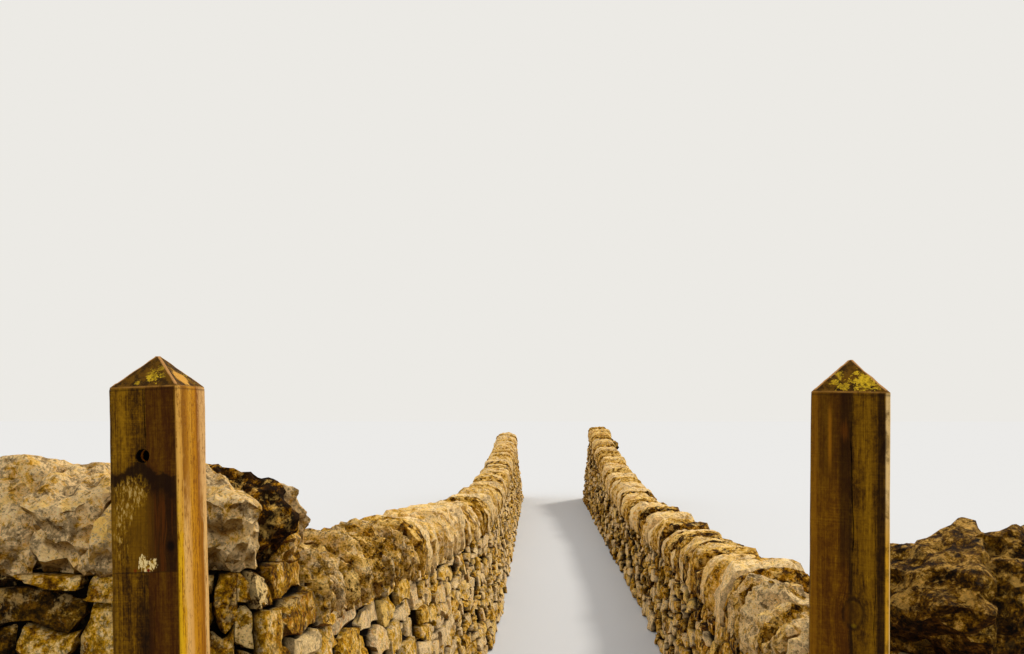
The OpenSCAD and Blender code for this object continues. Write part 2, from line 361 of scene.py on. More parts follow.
def displaceBy(piece, kind, size, strength, seed, level=0.5, group="", way="NORMAL"):
    pattern = bpy.data.textures.new(f"{piece.name}{kind}", kind)
    pattern.noise_scale = size
    if kind == "CLOUDS":
        pattern.noise_depth = 3
    change = piece.modifiers.new("rough", "DISPLACE")
    change.texture = pattern
    change.texture_coords = "GLOBAL"
    change.strength = strength
    change.mid_level = level
    change.vertex_group = group
    change.direction = way
    # each seed reads its own place in the pattern
    piece.location = (seed * 3.1, seed * 1.7, 0)
    applyChange(change)
    piece.location = (0, 0, 0)


def carveStone(look, seed):
    draw = np.random.default_rng(seed)
    bpy.ops.mesh.primitive_cube_add(size=1)
    stone = bpy.context.object
    stone.name = f"stone{seed}"
    edit()
    bpy.ops.mesh.subdivide(number_cuts=look["cuts"])
    bpy.ops.transform.tosphere(value=look["round"])
    bpy.ops.transform.vertex_random(offset=look["rough"], uniform=1, seed=seed)
    for chop in range(look["chops"]):
        turn = draw.uniform(0, 2 * math.pi)
        away = Vector((math.cos(turn), -draw.uniform(0.1, 0.9), math.sin(turn))).normalized()
        reach = draw.uniform(*look["chopAt"])
        slicePiece(away * reach, away, use_fill=True, clear_outer=True)
    done()
    if "lumps" in look:
        displaceBy(stone, "CLOUDS", look["lumpSize"], look["lumps"], seed)
        displaceBy(stone, "VORONOI", look["pitSize"], look["pits"], seed)
    return shapeArrays(stone)


def shadeFacets(piece, angle):
    bpy.context.view_layer.objects.active = piece
    piece.select_set(True)
    bpy.ops.object.shade_smooth_by_angle(angle=math.radians(angle))
    piece.select_set(False)


# Heaps gather the stones of each piece until it is made

heaps = {}


def addToHeap(home, points, faces, **values):
    heap = heaps.setdefault(home, {"points": [], "faces": [], "count": 0})
    heap["points"].append(points)
    heap["faces"] += [[corner + heap["count"] for corner in face] for face in faces]
    heap["count"] += len(points)
    for name, value in values.items():
        value = np.asarray(value, float)
        shape = (len(points), 3) if name == "stoneShift" else (len(points),)
        heap.setdefault(name, []).append(np.broadcast_to(value, shape))


def drift(s, z, seed):
    # a slow wander that neighbours share, so that joints stay even
    draw = np.random.default_rng(seed)
    moved = np.zeros((2,) + s.shape)
    for wave in range(5):
        turn = draw.uniform(0, 2 * math.pi)
        rate = draw.uniform(14, 42)
        phase = draw.uniform(0, 2 * math.pi, 2)
        path = (s * math.cos(turn) + z * 1.6 * math.sin(turn)) * rate
        moved[0] += np.sin(path + phase[0])
        moved[1] += np.sin(path + phase[1])
    return moved / 2.2


def setStones(run, stones, seed):
    draw = np.random.default_rng(seed)
    laying = wallLaying
    for a, b, level, top in stones:
        middle = (a + b) / 2
        home = next(name for end, name in run["homes"] if middle <= end + 1e-6)
        pool = fineShapes if nearHead(run, middle) else plainShapes
        shape = pool[draw.integers(len(pool))]
        x, y, z = shape["points"].T
        if draw.random() < 0.5:
            x, z = -x, -z
        joint = draw.uniform(*laying["joint"])
        wide = b - a - joint
        bottom = level + joint / 2 if level > 0 else 0.0
        tilt = draw.uniform(-1, 1) * laying["tilt"]
        s = middle + x * wide + z * tilt * 0.05
        seat = runHeight(run, s)
        crown = np.minimum(top, seat) - joint / 2
        up = bottom + (z + 0.5) * np.maximum(crown - bottom, 0.012) + x * tilt * wide * 0.6
        byBed, byEnd = laying["calm"]
        fade = np.clip(up / byBed, 0, 1) * np.clip((seat - up) / byBed, 0, 1)
        fade = fade * np.clip(s / byEnd, 0, 1) * np.clip((run["length"] - s) / byEnd, 0, 1)
        shift = drift(s, up, 7) * laying["wander"]
        s = np.clip(s + shift[0] * fade, tiny, run["length"] - tiny)
        up = np.clip(up + shift[1] * fade, 0, seat - tiny)
        proud = draw.uniform(*laying["proud"])
        deep = draw.uniform(*laying["depth"])
        slant = draw.uniform(-1, 1, 2) * laying["slant"]
        face = proud + slant[0] * x * min(wide, 0.15) + slant[1] * z * 0.08
        out = np.minimum(face, laying["proud"][1]) - (y + 0.5) * deep
        points = runPlace(run, s, up, out)
        tone = draw.random()
        if "lane" in home:
            tone *= laying["paler"][home.split("_")[0]]
        # painted shade in the joints: a stone's rim and its sides going back into the wall are marked to be
        # darkened, at a run's cut end only its top and bottom
        atEnd = a < 0.01 or b > run["length"] - 0.01
        rim = np.clip(abs(z) * 2, 0, 1) if atEnd else shape["edge"]
        back = shape["back"] * (0.25 if atEnd else 2.2)
        # the head's stones beyond that place are darker, partly damp and partly painted shade
        if "lane" not in home and points[:, 0].mean() < laying["damp"]:
            tone = 0.55 + 0.45 * tone
        if home == "right_cross_wall":
            tone = 0.30 + 0.70 * tone
        # the left cross wall, painted dark as shade and damp, is pale again on its far side and end
        if home == "left_cross_wall" and run["turn"] < 0:
            tone -= laying["dry"]
        faces = shape["faces"]
        if sides[home.split("_")[0]] * run["turn"] < 0:
            faces = [face[::-1] for face in faces]
        addToHeap(home, points, faces, stoneTone=tone, stoneWarm=draw.random(),
                  stoneEdge=np.maximum(rim ** 4 * 0.58, np.clip(back, 0, 1)),
                  stoneShift=draw.uniform(-40, 40, 3))


def makePiece(name, heap, node, finish, angle):
    mesh = bpy.data.meshes.new(name)
    mesh.from_pydata(np.concatenate(heap["points"]), [], heap["faces"])
    for value in ("stoneTone", "stoneWarm", "stoneEdge"):
        mesh.attributes.new(value, "FLOAT", "POINT").data.foreach_set("value", np.concatenate(heap[value]))
    mesh.attributes.new("stoneShift", "FLOAT_VECTOR", "POINT").data.foreach_set(
        "vector", np.concatenate(heap["stoneShift"]).ravel())
    piece = bpy.data.objects.new(name, mesh)
    bpy.context.scene.collection.objects.link(piece)
    piece.data.materials.append(finish)
    shadeFacets(piece, angle)
    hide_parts(node)
    return remember(piece)


# The hearting behind the face stones

hearting = {"inset": 0.062, "seatDrop": 0.014, "near": 0.0992, "step": 0.0682}


def fillHearting(side):
    rows = readStations(side)
    cross = readCross(side)
    names = [f"{side}_cross_wall", f"{side}_corner"]
    names += [f"{side}_lane_wall_{k}" for k in range(1, laneLengths + 1)]
    for name in names:
        core = frame["nodes"][name].copy()
        core.data = core.data.copy()
        core.parent = None
        bpy.context.scene.collection.objects.link(core)
        bpy.context.view_layer.objects.active = core
        core.select_set(True)
        edit()
        bpy.ops.mesh.select_all(action="SELECT")
        bpy.ops.mesh.remove_doubles(threshold=0.0002)
        bpy.ops.mesh.normals_make_consistent(inside=False)
        bpy.ops.transform.shrink_fatten(value=-hearting["inset"], use_even_offset=True)
        done()
        points = np.array([vertex.co for vertex in core.data.vertices])
        faces = [list(polygon.vertices) for polygon in core.data.polygons]
        bpy.data.objects.remove(core)
        pulled = points.copy()
        near = hearting["near"]
        raised = points[:, 2] + hearting["inset"] - hearting["seatDrop"]
        pulled[:, 2] = np.where(points[:, 2] < near, 0.0, raised)
        if name.endswith("cross_wall") or name.endswith("corner"):
            border = sides[side] * cross["field"]
            pulled[:, 0] = np.where(abs(points[:, 0] - border) < near, border, points[:, 0])
        if not name.endswith("cross_wall"):
            for k, border in enumerate(rows[:laneLengths, 0]):
                if k or not name.endswith("corner"):
                    reach = border if k else border - hearting["step"]
                    pulled[:, 1] = np.where(abs(points[:, 1] - border) < near, reach, pulled[:, 1])
        # the hearting lies deep in the joints and is painted fully dark, as shade
        addToHeap(name, pulled, faces, stoneTone=0.95, stoneWarm=0.3, stoneEdge=1.0, stoneShift=(0, 0, 0))


# Shader maths: a value in a node tree, with Python's own operators

def rgb(red, green, blue):
    # a colour picked as screen values from 0 to 255
    linear = [((v / 255 + 0.055) / 1.055) ** 2.4 if v > 10 else v / 255 / 12.92 for v in (red, green, blue)]
    return tuple(linear)


def setStops(ramp, stops):
    # each stop has its place and its screen values
    while len(ramp.elements) < len(stops):
        ramp.elements.new(0.5)
    for element, (place, *color) in zip(ramp.elements, stops):
        element.position = place
        element.color = (*rgb(*color), 1)


class Flow:
    def __init__(self, tree, socket=None):
        self.tree = tree
        self.socket = socket

    def node(self, kind, settings=None, sockets=None, out=0):
        made = self.tree.nodes.new(f"ShaderNode{kind}")
        for name, value in (settings or {}).items():
            if name == "stops":
                setStops(made.color_ramp, value)
            else:
                setattr(made, name, value)
        for name, value in (sockets or {}).items():
            socket = made.inputs[name]
            if isinstance(value, Flow):
                self.tree.links.new(value.socket, socket)
            else:
                socket.default_value = (*value, 1) if socket.type == "RGBA" else value
        return Flow(self.tree, made.outputs[out] if made.outputs else None)

    def maths(self, operation, first, second=0.0):
        return self.node("Math", {"operation": operation}, {0: first, 1: second})

    def __add__(self, other):
        return self.maths("ADD", self, other)

    def __radd__(self, other):
        return self.maths("ADD", other, self)

    def __sub__(self, other):
        return self.maths("SUBTRACT", self, other)

    def __rsub__(self, other):
        return self.maths("SUBTRACT", other, self)

    def __mul__(self, other):
        return self.maths("MULTIPLY", self, other)

    def __rmul__(self, other):
        return self.maths("MULTIPLY", other, self)

    def __or__(self, other):
        # the larger of two masks
        return self.maths("MAXIMUM", self, other)

    def __abs__(self):
        return self.maths("ABSOLUTE", self)

    def between(self, low, high):
        # 0 at low, 1 at high, smooth on the way
        return self.node("MapRange", {"interpolation_type": "SMOOTHSTEP"}, {0: self, 1: low, 2: high})

    def noise(self, place, scale, detail, rough=0.55, distortion=0.0):
        return self.node("TexNoise", {}, {"Vector": place, "Scale": scale, "Detail": detail,
                                          "Roughness": rough, "Distortion": distortion})

    def blend(self, share, first, second, way="MIX"):
        return self.node("Mix", {"data_type": "RGBA", "blend_type": way}, {0: share, 6: first, 7: second}, 2)

    def paint(self, share, coat, way="MIX"):
        # lays a coat over the finish's colour so far
        self.color = self.blend(share, self.color, coat, way)

    def attribute(self, name, out=2):
        return self.node("Attribute", {"attribute_name": name}, {}, out)

    def moved(self, place, shift):
        return self.node("VectorMath", {"operation": "ADD"}, {0: place, 1: shift})

    def stretched(self, place, scale):
        return self.node("VectorMath", {"operation": "MULTIPLY"}, {0: place, 1: scale})


def newFinish(name):
    finish = bpy.data.materials.new(name)
    finish.use_nodes = True
    tree = finish.node_tree
    tree.nodes.clear()
    return finish, Flow(tree)


def endFinish(flow, rough, height, depth):
    bump = flow.node("Bump", {}, {"Strength": 1.0, "Distance": depth, "Height": height})
    surface = flow.node("BsdfPrincipled", {}, {"Base Color": flow.color, "Roughness": rough, "Normal": bump,
                                               "Specular IOR Level": 0.08})
    flow.node("OutputMaterial", {}, {"Surface": surface})


# Stone looks: colours from pale to dark are screen values, "lighter" and "spread" move each stone's tone,
# "mottle" is a noise's scale, detail and roughness, and the rest are shares and strengths
sharedLook = {"lighter": 0.0, "spread": 1.0, "mottle": (30.0, 9.0, 0.70), "blotch": 0.85,
              "pale": (0.40, 0.40), "grain": 1.5, "bump": 0.015}
stoneLooks = {
    "laneStone": {
        "stops": [(0.0, 255, 224, 170), (0.20, 248, 206, 120), (0.38, 234, 180, 44), (0.55, 212, 154, 14),
                  (0.70, 176, 118, 3), (0.83, 116, 72, 1), (0.94, 58, 33, 0), (1.0, 26, 12, 0)],
        "lichen": (254, 212, 118), "ochre": (210, 130, 3), "dirt": (62, 36, 1), "deep": (14, 6, 0),
        "gloom": 0.30, "lighter": 0.20, "spread": 1.25, "contrast": 3.3, "blotch": 0.80, "pale": (0.36, 0.25),
        "grain": 1.4, "bump": 0.013,
    },
    "headStone": {
        "stops": [(0.0, 252, 218, 156), (0.16, 234, 188, 92), (0.34, 208, 154, 20), (0.52, 172, 119, 3),
                  (0.68, 132, 87, 2), (0.83, 80, 48, 1), (1.0, 25, 12, 0)],
        "lichen": (252, 216, 144), "ochre": (188, 114, 2), "dirt": (48, 27, 1), "deep": (10, 4, 0),
        "gloom": 0.45, "lighter": 0.24, "contrast": 3.1, "blotch": 0.80, "pale": (0.45, 0.25),
    },
    "shadeStone": {
        "stops": [(0.0, 198, 158, 78), (0.15, 146, 106, 20), (0.35, 102, 70, 3), (0.55, 70, 45, 1),
                  (0.76, 40, 23, 0), (1.0, 12, 6, 0)],
        "lichen": (216, 178, 110), "ochre": (128, 82, 2), "dirt": (22, 12, 0), "deep": (6, 3, 0),
        "gloom": 0.40, "contrast": 3.0,
    },
    "laneCope": {
        "stops": [(0.0, 254, 222, 164), (0.20, 240, 198, 124), (0.42, 222, 174, 78), (0.58, 198, 147, 32),
                  (0.73, 158, 108, 7), (0.86, 98, 61, 2), (1.0, 32, 17, 0)],
        "lichen": (252, 210, 122), "ochre": (206, 140, 12), "dirt": (72, 43, 2), "deep": (14, 7, 0),
        "gloom": 0.42, "lighter": 0.19, "spread": 1.3, "mottle": (24.0, 8.0, 0.68), "contrast": 3.3,
        "blotch": 0.80, "grain": 1.2, "bump": 0.010,
    },
    "headCope": {
        "stops": [(0.0, 255, 220, 160), (0.20, 246, 198, 116), (0.42, 224, 168, 52), (0.58, 202, 142, 10),
                  (0.73, 158, 104, 3), (0.86, 92, 56, 1), (1.0, 26, 13, 0)],
        "lichen": (254, 206, 108), "ochre": (204, 136, 6), "dirt": (64, 37, 1), "deep": (10, 5, 0),
        "gloom": 0.62, "lighter": 0.27, "spread": 0.95, "mottle": (30.0, 9.0, 0.74), "contrast": 4.0,
        "blotch": 0.95, "pale": (0.30, 0.45),
    },
    "darkCope": {
        "stops": [(0.0, 214, 168, 84), (0.20, 158, 114, 22), (0.40, 114, 76, 4), (0.58, 84, 53, 1),
                  (0.76, 52, 30, 1), (1.0, 16, 8, 0)],
        "lichen": (230, 180, 88), "ochre": (134, 88, 3), "dirt": (16, 8, 0), "deep": (6, 3, 0),
        "gloom": 0.50, "spread": 0.70, "mottle": (34.0, 9.0, 0.74), "contrast": 4.2, "blotch": 0.90,
        "pale": (0.08, 0.62), "grain": 1.8, "bump": 0.016,
    },
}
# the slabs nearest to the heads show more grain, and the right wall's lane side has darker crevices, painted
# as shade
stoneLooks["nearCope"] = stoneLooks["laneCope"] | {
    "mottle": (28.0, 9.0, 0.72), "contrast": 3.7, "blotch": 0.95, "grain": 1.6, "bump": 0.016, "gloom": 0.62,
    "dirt": (46, 26, 1)}
stoneLooks["rightStone"] = stoneLooks["laneStone"] | {
    "spread": 1.7, "contrast": 3.9, "blotch": 0.95, "lighter": 0.12, "gloom": 0.55, "dirt": (46, 26, 1)}
# which look a node has: the first part that is in its name
lookOrder = {"lane_copes_1": "nearCope", "lane_copes": "laneCope", "left_lane": "laneStone",
             "right_lane": "rightStone", "left_cross_wall": "shadeStone", "right_cross_copes": "darkCope",
             "right_corner_copes": "darkCope", "copes": "headCope", "": "headStone"}


def stoneFinish(name):
    look = sharedLook | stoneLooks[name]
    lichen, ochre, dirt, deep = (rgb(*look[part]) for part in ("lichen", "ochre", "dirt", "deep"))
    finish, flow = newFinish(name)
    place = flow.node("TexCoord", {}, {}, 3)
    own = flow.moved(place, flow.attribute("stoneShift", 1))
    tone = flow.attribute("stoneTone")
    warm = flow.attribute("stoneWarm")
    edge = flow.attribute("stoneEdge")
    broad = flow.noise(own, 8.0, 3.0)
    mottle = flow.noise(own, *look["mottle"], 0.2)
    marble = flow.noise(flow.moved(own, (7.0, 3.0, 5.0)), 52.0, 8.0, 0.72, 0.3)
    grain = flow.noise(own, 150.0, 5.0, 0.72)
    # painted shade and highlight: the mottle that lifts the bump's ridges also paints them pale and its
    # hollows dark
    picked = ((tone - 0.5) * look["spread"] + 0.48 - look["lighter"] - (broad - 0.5) * 0.8
              - (mottle - 0.5) * look["contrast"] - (grain - 0.5) * look["grain"] * 0.55)
    flow.color = flow.node("ValToRGB", {"stops": look["stops"]}, {0: picked})
    rust = marble.between(0.48, 0.40) * warm.between(0.40, 0.95) * 0.70
    flow.paint(rust, ochre)
    upward = flow.node("SeparateXYZ", {}, {0: flow.node("NewGeometry", {}, {}, 1)}, 2)
    under = 1 - upward.between(-0.70, 0.06)
    patch = flow.noise(flow.moved(own, (2.0, 9.0, 4.0)), 17.0, 8.0, 0.74, 0.15)
    # lichen patches, denser on upward faces: partly real lichen and partly a painted highlight on the tops
    share, onTop = look["pale"]
    pale = patch.between(0.51, 0.58) * (share + upward.between(0.0, 0.8) * onTop)
    flow.paint(pale, lichen)
    # a few stones have one large white crust
    crust = (patch * 0.5 + broad * 0.5).between(0.485, 0.505) * (1 - warm.between(0.10, 0.14))
    crust = crust * marble.between(0.60, 0.50) * (0.55 + mottle * 0.8)
    flow.paint(crust, lichen)
    blotch = marble.between(0.53, 0.60) * (0.45 + tone * 0.55) * look["blotch"] * (1 - crust * 0.7)
    pits = grain.between(0.42, 0.34) * 0.75
    flow.paint(blotch | pits, dirt)
    # painted shade: noise patches darkened in the dirt colour
    gloom = patch.between(0.48, 0.41) * (0.6 + mottle * 0.8) * look["gloom"]
    flow.paint(gloom, dirt)
    # painted shade in the joints: the stones' rims and sides going into the wall, the hearting, and the
    # copes' feet and touching sides are darkened
    jointShade = edge.between(0.24, 0.80) * (0.85 + mottle * 0.3)
    # painted shade: faces that look downward are darkened towards a warm brown
    flow.paint(under * 0.92, (0.24, 0.15, 0.02), "MULTIPLY")
    flow.paint(jointShade, deep)
    shade = (1 - look["grain"] / 2) + grain * look["grain"]
    tinted = flow.node("CombineColor", {}, {0: shade, 1: shade, 2: shade})
    flow.paint(1.0, tinted, "MULTIPLY")
    rough = 0.82 + mottle * 0.15
    cells = flow.node("TexVoronoi", {"feature": "DISTANCE_TO_EDGE"}, {"Vector": own, "Scale": 22.0})
    crack = cells.between(0.0, 0.09)
    height = broad * 1.2 + mottle * 1.3 + grain * 0.30 + crack * 0.10 - blotch * 0.18
    endFinish(flow, rough, height, look["bump"])
    return finish


# Build the walls

plainShapes, fineShapes = ([carveStone(look, look["seed"] + n) for n in range(look["kinds"])]
                           for look in (plainStone, fineStone))
report("stone shapes carved")


def nearHead(run, s):
    before, after = wallLaying["fineReach"]
    return "head" in run and run["head"][0] - before < s < run["head"][1] + after


for side, seed in (("left", 100), ("right", 200)):
    names = ("lane", "back", "bend", "field", "crossEnd", "laneEnd", "step")
    runs = dict(zip(names, (laneSideRun(side), *fieldSideRuns(side), *endRuns(side))))
    for count, (place, run) in enumerate(runs.items()):
        run["turn"] = 1 if place in ("lane", "laneEnd", "step") else -1
        growth = growthOnLane if place == "lane" else lambda run, s: wallLaying["fieldGrowth"]
        stones = layStones(run, growth, seed + count)
        setStones(run, stones, seed + count + 10)
        report(f"{side} {place}: {len(stones)} stones")
    fillHearting(side)
report("stones laid")

finishes = {name: stoneFinish(name) for name in stoneLooks}


def finishOf(node):
    return finishes[next(name for part, name in lookOrder.items() if part in node)]


for node in list(heaps):
    makePiece(f"{node}_stones", heaps[node], node, finishOf(node), 42)
report("walls made")


# Copes: slabs carved once and fitted between the flat sides of each solid

copeSlab = {"kinds": 12, "seed": 71, "width": 0.44, "thick": 0.15, "tall": 0.25, "shoulder": (0.07, 0.17),
            "grain": 0.020, "chops": 3, "chopAt": (0.84, 0.98), "lumps": 0.042, "lumpSize": 0.09,
            "pits": 0.018, "pitSize": 0.04, "triangles": 590, "sink": 0.018, "taper": 0.26, "foot": 8.0,
            "spread": 1.0}
nearSlab = copeSlab | {"kinds": 9, "seed": 131, "shoulder": (0.08, 0.17), "grain": 0.015, "chops": 7,
                       "chopAt": (0.80, 0.97), "lumps": 0.062, "lumpSize": 0.085, "pits": 0.034,
                       "pitSize": 0.05, "triangles": 1700, "sink": 0.022, "taper": 0.24}
boulder = {"kinds": 8, "seed": 91, "width": 0.42, "thick": 0.21, "tall": 0.33, "round": 0.34, "grain": 0.015,
           "chops": 12, "chopAt": (0.74, 0.96), "lumps": 0.070, "lumpSize": 0.13, "pits": 0.034,
           "pitSize": 0.055, "triangles": 2000, "sink": 0.040, "taper": 0.0, "foot": 16.0, "spread": 1.34}

copeFit = {"contact": 0.60, "rim": 5, "reach": 0.54, "careReach": 0.60}
# copes beside the posts: tone from pale to dark, warmth, height, lean to the right and width along the wall
copeCare = {
    "left_corner_copes": {0: (0.20, 0.45, 1.0, 0, 1), 1: (0.26, 0.35, 1.0, 0, 1),
                          4: (0.18, 0.30, 1.06, 0, 1), 5: (1.35, 0.30, 1.20, -0.06, 1),
                          6: (0.58, 0.95, 1.05, 0, 1)},
    "left_cross_copes": {5: (0.30, 0.60, 1.0, 0, 1)},
    "right_corner_copes": {0: (0.50, 0.30, 1.0, 0.20, 1), 3: (0.62, 0.60, 0.90, 0, 1.45)},
    "right_lane_copes_1": {3: (0.44, 0.5, 1.0, -0.15, 1), 4: (0.74, 0.3, 0.94, -0.20, 1),
                           5: (0.34, 0.4, 0.92, -0.30, 1), 6: (0.20, 0.2, 0.94, -0.30, 1),
                           7: (0.60, 0.3, 0.94, -0.30, 1), 8: (0.26, 0.5, 0.96, -0.25, 1)},
}


def carveCope(look, seed):
    draw = np.random.default_rng(seed)
    bpy.ops.mesh.primitive_cube_add(size=1)
    slab = bpy.context.object
    slab.name = f"cope{seed}"
    if "round" in look:
        edit()
        bpy.ops.mesh.subdivide(number_cuts=5)
        bpy.ops.transform.tosphere(value=look["round"])
        done()
    slab.scale = (look["width"], look["thick"], look["tall"])
    freeze(scale=True)
    for end in (-1, 1) if "shoulder" in look else ():
        selectEdges(slab, lambda a, b: min(a.z, b.z) > 0.45 * look["tall"] and
                    min(a.x * end, b.x * end) > 0.3 * look["width"])
        bpy.ops.mesh.bevel(offset=draw.uniform(*look["shoulder"]), segments=6, profile=0.5)
        done()
    edit()
    bpy.ops.mesh.select_mode(type="VERT")
    for chop in range(look["chops"]):
        turn = draw.uniform(0.1, 0.9) * math.pi if "shoulder" in look else draw.uniform(-0.2, 1.2) * math.pi
        away = Vector((math.cos(turn), draw.uniform(-0.7, 0.7), math.sin(turn))).normalized()
        thick = look["thick"] if "round" in look else 0
        half = Vector((look["width"] * away.x, thick * away.y, look["tall"] * away.z)).length / 2
        place = away * (draw.uniform(*look["chopAt"]) * half + 0.01)
        slicePiece(place, away, use_fill=True, clear_outer=True)
    done()
    voxel = slab.modifiers.new("even", "REMESH")
    voxel.mode = "VOXEL"
    voxel.voxel_size = look["grain"] * 0.6
    applyChange(voxel)
    displaceBy(slab, "CLOUDS", look["lumpSize"], look["lumps"], seed)
    displaceBy(slab, "VORONOI", look["pitSize"], look["pits"], seed)
    thin = slab.modifiers.new("thin", "DECIMATE")
    thin.ratio = look["triangles"] / (2 * len(slab.data.polygons))
    applyChange(thin)
    return shapeArrays(slab)


def looseSolids(node):
    mesh = frame["nodes"][node].data
    places = np.array([vertex.co for vertex in mesh.vertices])
    points, merged = np.unique(places.round(5), axis=0, return_inverse=True)
    triangles = merged.ravel()[np.array([list(polygon.vertices) for polygon in mesh.polygons])]
    group = np.arange(len(points))
    while True:
        lowest = group[triangles].min(axis=1)
        after = group.copy()
        for corner in range(3):
            np.minimum.at(after, triangles[:, corner], lowest)
        if (after == group).all():
            break
        group = after
    owner = group[triangles[:, 0]]
    return [points[triangles[owner == one]] for one in np.unique(owner)]


def flatSides(solid):
    # the two largest flat sides that look away from each other, as outward normal and distance
    across = np.cross(solid[:, 1] - solid[:, 0], solid[:, 2] - solid[:, 0])
    area = np.linalg.norm(across, axis=1)
    facing = across / np.maximum(area, 1e-12)[:, None]
    found = []
    for side in range(2):
        allowed = area > 0 if not found else facing @ found[0][0] < -0.6
        totals = [area[(facing @ n > 0.9995) & allowed].sum() if ok else 0 for n, ok in zip(facing, allowed)]
        normal = facing[int(np.argmax(totals))]
        flat = facing @ normal > 0.9995
        found.append((normal, float((solid[flat][:, 0] @ normal).mean())))
    return found


def fitCope(home, solid, shape, look, draw, care):
    (nearWay, nearAt), (farWay, farAt) = flatSides(solid)
    through = Vector(nearWay - farWay).normalized()
    if through.y < 0:
        through = -through
        nearWay, nearAt, farWay, farAt = farWay, farAt, nearWay, nearAt
    width = through.cross(Vector((0, 0, 1))).normalized()
    rise = width.cross(through).normalized()
    if rise.z < 0:
        rise = -rise
    corners = solid.reshape(-1, 3)
    low, high = (corners @ np.array(width)).min(), (corners @ np.array(width)).max()
    foot, crown = (corners @ np.array(rise)).min() - look["sink"], (corners @ np.array(rise)).max()
    x, y, z = shape["points"].T
    if draw.random() < 0.5:
        x, y = -x, -y
    # painted shade: the sides where slabs touch their neighbours, and each slab's foot, are marked to be
    # darkened
    contact = np.clip(abs(y) * 7 - 2.6, 0, 1) * copeFit["contact"]
    rim = np.clip(np.maximum(abs(x) * 2, z + 0.5), 0, 1) ** copeFit["rim"]
    # boulders bear on their neighbours, slabs taper to their rims
    most = copeFit["reach"] if care is None else copeFit["careReach"]
    y = np.clip(y * look["spread"], -most, most) * (1 - look["taper"] * rim)
    across = (low + high) / 2 + x * (high - low)
    up = foot + (z + 0.5) * (crown - foot)
    base = across[:, None] * np.array(width) + up[:, None] * np.array(rise)
    axis = np.array(through)
    toNear = (nearAt - base @ nearWay) / (axis @ nearWay)
    toFar = (farAt - base @ farWay) / (axis @ farWay)
    points = base + (toFar + (toNear - toFar) * (y + 0.5))[:, None] * axis
    turned = np.linalg.det(np.array([width, through, rise])) < 0
    faces = [f[::-1] for f in shape["faces"]] if turned else shape["faces"]
    tone, warm, tall, lean, wide = care or (*draw.random(2), 1, 0, 1)
    seat, middle, half = corners[:, 2].min(), corners[:, 0].mean(), np.ptp(corners[:, 0]) / 2
    points[:, 0] = middle + (points[:, 0] - middle) * wide
    points[:, 2] = seat + (points[:, 2] - seat) * (tall + lean * (points[:, 0] - middle) / half)
    addToHeap(home, points, faces, stoneTone=tone, stoneWarm=warm,
              stoneEdge=np.maximum(np.clip(0.9 - (z + 0.5) * look["foot"], 0, 1), contact),
              stoneShift=draw.uniform(-40, 40, 3))


heaps.clear()
copeShapes, nearShapes, boulders = ([carveCope(look, look["seed"] + n) for n in range(look["kinds"])]
                                    for look in (copeSlab, nearSlab, boulder))
report("cope shapes carved")
draw = np.random.default_rng(9)
for node in sorted(n for n in frame["nodes"] if "_copes" in n):
    pool, look = (copeShapes, copeSlab) if "lane" in node else (boulders, boulder)
    if node.endswith("copes_1"):
        pool, look = nearShapes, nearSlab
    care = copeCare.get(node, {})
    for count, solid in enumerate(looseSolids(node)):
        fitCope(node, solid, pool[draw.integers(len(pool))], look, draw, care.get(count))
    makePiece(f"{node}_slabs", heaps[node], node, finishOf(node), 38)
report("copes made")


# Posts: each is hewn upright at its own foot, then set where the frame has it

postWood = {"width": 0.150, "point": 0.070, "chamfer": 0.0065, "apex": 0.010, "hip": 0.0025, "buried": 0.03,
            "rows": 0.021, "columns": 0.0115, "stretch": 0.10, "ripple": 0.0016, "rippleSize": 0.011,
            "wear": 0.0055, "wearSize": 0.022, "tipWear": 0.0035,
            "footEdge": (0.134, 0.140)}  # the length of the foot's straight edges lies between these
# drying checks: face, place across it, lowest and highest point, width and depth
leftChecks = [("front", 0.0050, 1.630, 1.7525, 0.0046, 0.020), ("front", -0.031, 0.62, 1.12, 0.0022, 0.014),
              ("front", 0.037, 0.10, 0.86, 0.0026, 0.016), ("front", 0.018, 1.10, 1.36, 0.0016, 0.010),
              ("right", 0.012, 0.55, 1.28, 0.0020, 0.012), ("right", -0.030, 1.30, 1.62, 0.0014, 0.010),
              ("back", 0.008, 0.30, 1.70, 0.0042, 0.026), ("left", -0.010, 0.50, 1.55, 0.0032, 0.020)]
rightChecks = [("front", 0.006, 1.36, 1.742, 0.0034, 0.022), ("front", 0.001, 0.35, 1.25, 0.0024, 0.016),
               ("front", -0.046, 0.80, 1.25, 0.0016, 0.010), ("front", 0.048, 1.05, 1.60, 0.0018, 0.012),
               ("left", 0.006, 0.60, 1.66, 0.0030, 0.018), ("back", -0.012, 0.40, 1.69, 0.0040, 0.026),
               ("right", 0.015, 0.25, 1.40, 0.0030, 0.018)]
faceTurn = {"front": 0, "right": 1, "back": 2, "left": 3}
knots = {"left": (0.0525, 1.430, 0.010), "right": (0.0090, 1.310, 0.019)}  # across, up and half width
curtainAt = {"top": 1.604, "end": 1.3785}  # the left post's rain stain hangs from the hole to a straight line


def readPost(side):
    points = cornerPoints(f"{side}_post")
    apex = Vector(points[points[:, 2].argmax()])
    foot = points[points[:, 2] < tiny]
    middle = Vector((foot.min(axis=0) + foot.max(axis=0)) / 2)
    upright = (apex - middle).normalized()
    least, most = postWood["footEdge"]
    steps = [Vector(b - a) for a in foot for b in foot if least < np.linalg.norm(b - a) < most]
    across = max(steps, key=lambda step: step.x).normalized()
    across = (across - upright * across.dot(upright)).normalized()
    stand = Matrix((across, upright.cross(across), upright)).transposed().to_4x4()
    return Matrix.Translation(middle) @ stand, (apex - middle).length


